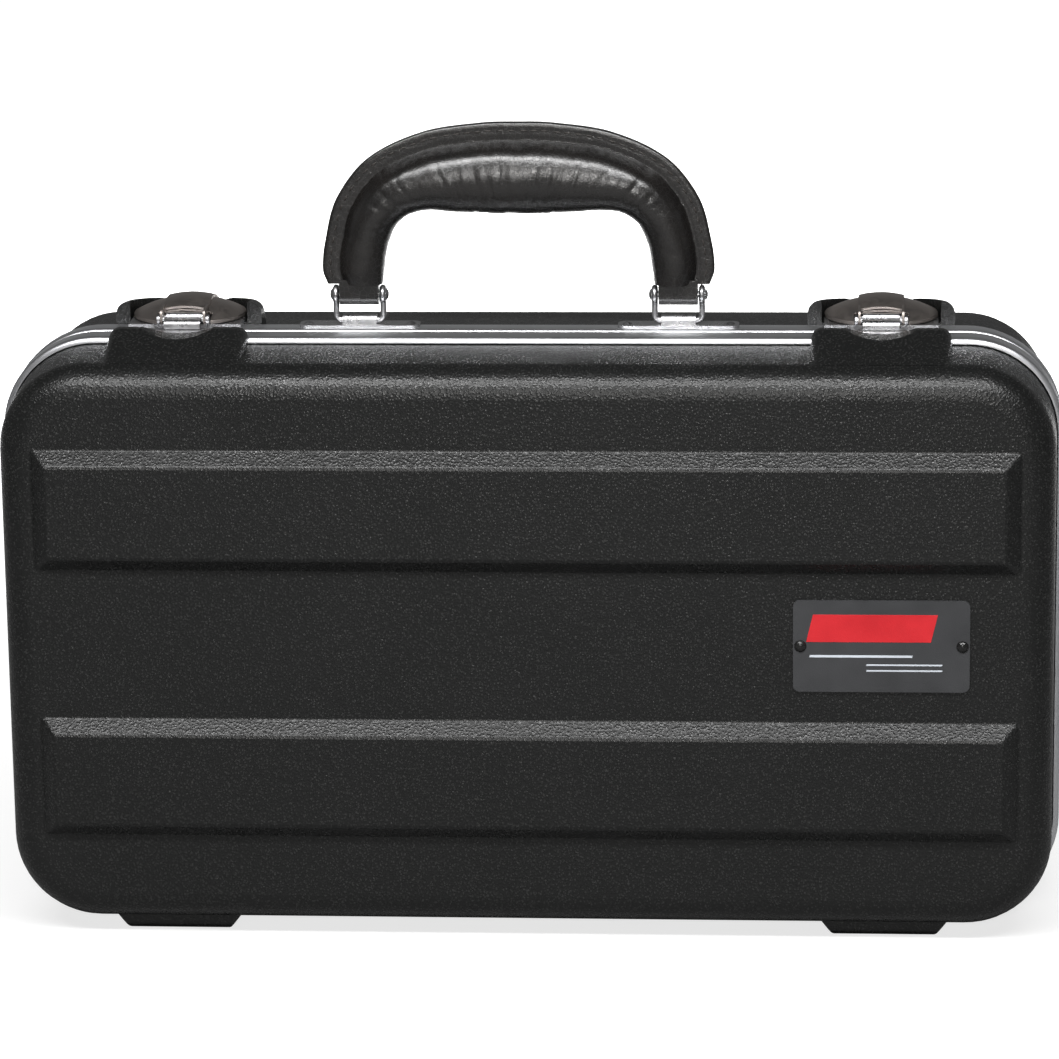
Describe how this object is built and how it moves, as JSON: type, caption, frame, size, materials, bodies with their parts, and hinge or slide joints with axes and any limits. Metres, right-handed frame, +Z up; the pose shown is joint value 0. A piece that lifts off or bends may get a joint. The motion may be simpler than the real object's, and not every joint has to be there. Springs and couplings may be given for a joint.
{
  "type": "microphone case",
  "caption": "Hard carrying case for microphones: hinged lid with two draw latches, aluminium valances, arched leather handle on wire links, foam lining with cut-outs.",
  "frame": {"origin": "middle of the outer box in X and Y, on the floor the feet stand on", "axes": "+Z up, the lid faces -Y and the base +Y, +X to the right when the lid is looked at"},
  "size_m": [0.4, 0.128, 0.3023],
  "materials": {
    "case_shell": "fine pebble grain, dull",
    "valance": "satin, brushed along its length",
    "foam": "soft foam, dull",
    "foam_dense": "soft foam, dull",
    "name_plate": "satin dark grey",
    "black_rivet": "semi-gloss black",
    "bright_steel": "polished",
    "dark_chrome": "polished, smoky",
    "leather": "wrinkled grain, slightly glossy",
    "padding": "felt",
    "plain_steel": "plain"
  },
  "bodies": {
    "base": {"base_shell": "case_shell", "base_valance": "valance", "base_foam_pad": "foam", "base_foam_cutouts": "foam_dense", "latch_base_left": "bright_steel", "latch_base_right": "bright_steel", "latch_base_rivets": "bright_steel", "latch_pivots_left": "bright_steel", "latch_pivots_right": "bright_steel", "base_hinge_leaf_left": "bright_steel", "base_hinge_leaf_right": "bright_steel", "base_hinge_rivets": "bright_steel", "hinge_pin_left": "bright_steel", "hinge_pin_right": "bright_steel", "handle_plate_left": "bright_steel", "handle_plate_right": "bright_steel", "handle_plate_rivets": "bright_steel"},
    "lid": {"lid_shell": "case_shell", "lid_valance": "valance", "lid_foam": "foam", "name_plate": "name_plate", "name_plate_rivets": "black_rivet", "keeper_left": "bright_steel", "keeper_right": "bright_steel", "keeper_rivets": "bright_steel", "lid_hinge_leaf_left": "bright_steel", "lid_hinge_leaf_right": "bright_steel", "lid_hinge_rivets": "bright_steel"},
    "lever_left": {"latch_lever_left": "dark_chrome", "hook_pin_left": "bright_steel"},
    "lever_right": {"latch_lever_right": "dark_chrome", "hook_pin_right": "bright_steel"},
    "hook_left": {"latch_hook_left": "bright_steel"},
    "hook_right": {"latch_hook_right": "bright_steel"},
    "handle_links": {"handle_link_left": "bright_steel", "handle_link_right": "bright_steel"},
    "handle": {"handle_cover": "leather", "handle_padding": "padding", "handle_core": "plain_steel", "handle_pin_left": "bright_steel", "handle_pin_right": "bright_steel"}
  },
  "joints": [
    {"name": "lid_hinge", "type": "hinge", "parent": "base", "child": "lid", "pos_m": [0, -0.007, 0.0024], "axis": [1, 0, 0], "range_deg": [0, 110]},
    {"name": "latch_lever_left", "type": "hinge", "parent": "base", "child": "lever_left", "pos_m": [-0.1315, -0.0085, 0.2286], "axis": [1, 0, 0], "range_deg": [0, 65]},
    {"name": "latch_hook_left", "type": "hinge", "parent": "lever_left", "child": "hook_left", "pos_m": [-0.1315, -0.0035, 0.2284], "axis": [1, 0, 0], "range_deg": [-65, 0]},
    {"name": "latch_lever_right", "type": "hinge", "parent": "base", "child": "lever_right", "pos_m": [0.1315, -0.0085, 0.2286], "axis": [1, 0, 0], "range_deg": [0, 65]},
    {"name": "latch_hook_right", "type": "hinge", "parent": "lever_right", "child": "hook_right", "pos_m": [0.1315, -0.0035, 0.2284], "axis": [1, 0, 0], "range_deg": [-65, 0]},
    {"name": "handle_links", "type": "hinge", "parent": "base", "child": "handle_links", "pos_m": [-0.005, 0.0005, 0.2267], "axis": [1, 0, 0], "range_deg": [-35, 35]},
    {"name": "handle_swing", "type": "hinge", "parent": "handle_links", "child": "handle", "pos_m": [-0.005, 0.0005, 0.2366], "axis": [1, 0, 0], "range_deg": [-52, 52]}
  ],
  "couplings": [
    {"joint": "latch_hook_left", "follows": "latch_lever_left", "ratio": -1},
    {"joint": "latch_hook_right", "follows": "latch_lever_right", "ratio": -1}
  ]
}
